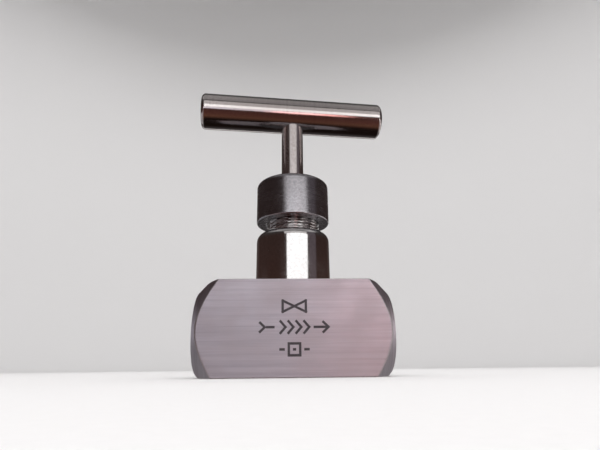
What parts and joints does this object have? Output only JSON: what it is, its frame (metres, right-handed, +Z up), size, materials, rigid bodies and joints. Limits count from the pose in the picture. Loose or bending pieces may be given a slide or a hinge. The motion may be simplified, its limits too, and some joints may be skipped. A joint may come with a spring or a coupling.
{
  "type": "needle valve",
  "caption": "Bar-stock needle valve with two in-line female pipe ports, round screwed bonnet, gland cap and a T-bar that screws the needle on and off its seat.",
  "frame": {"origin": "centre of the body's flat underside, below the stem axis", "axes": "+Z up along the stem, +X out of the outlet port, -X out of the inlet port, +Y to the back"},
  "size_m": [0.091, 0.038, 0.1337],
  "materials": {
    "body_steel": "brushed bar stock with fine lengthwise grain",
    "bonnet_steel": "turned and polished",
    "cap_steel": "fine turned satin",
    "stem_steel": "ground and polished",
    "bar_steel": "polished round bar",
    "seat_steel": "machined",
    "soft_metal": "annealed, dull",
    "pin_steel": "ground",
    "screw_steel": "black oxide",
    "packing_ptfe": "waxy",
    "adapter_plastic": "filled, matt",
    "wiper_rubber": "matt"
  },
  "bodies": {
    "valve_body": {"body": "body_steel", "seat_insert": "seat_steel", "bonnet": "bonnet_steel", "bonnet_seal_ring": "soft_metal", "bonnet_lock_pin": "pin_steel", "packing_washer": "seat_steel", "packing_male_adapter": "adapter_plastic", "packing_ring_lower": "packing_ptfe", "packing_ring_middle": "packing_ptfe", "packing_ring_upper": "packing_ptfe", "packing_female_adapter": "adapter_plastic", "gland_follower": "seat_steel", "gland_cap": "cap_steel", "stem_wiper": "wiper_rubber"},
    "needle": {"needle": "seat_steel", "needle_clip": "pin_steel", "thrust_ball": "seat_steel"},
    "stem": {"stem": "stem_steel", "t_bar": "bar_steel", "handle_set_screw": "screw_steel"}
  },
  "joints": [
    {"name": "stem_lift", "type": "slide", "parent": "valve_body", "child": "needle", "axis": [0, 0, 1], "range_m": [0, 0.00751]},
    {"name": "stem_turn", "type": "hinge", "parent": "needle", "child": "stem", "pos_m": [0, 0, 0.1], "axis": [0, 0, 1], "range_deg": [0, 1800]}
  ],
  "couplings": [
    {"joint": "stem_lift", "follows": "stem_turn", "m_per_rad": 0.00023873}
  ]
}
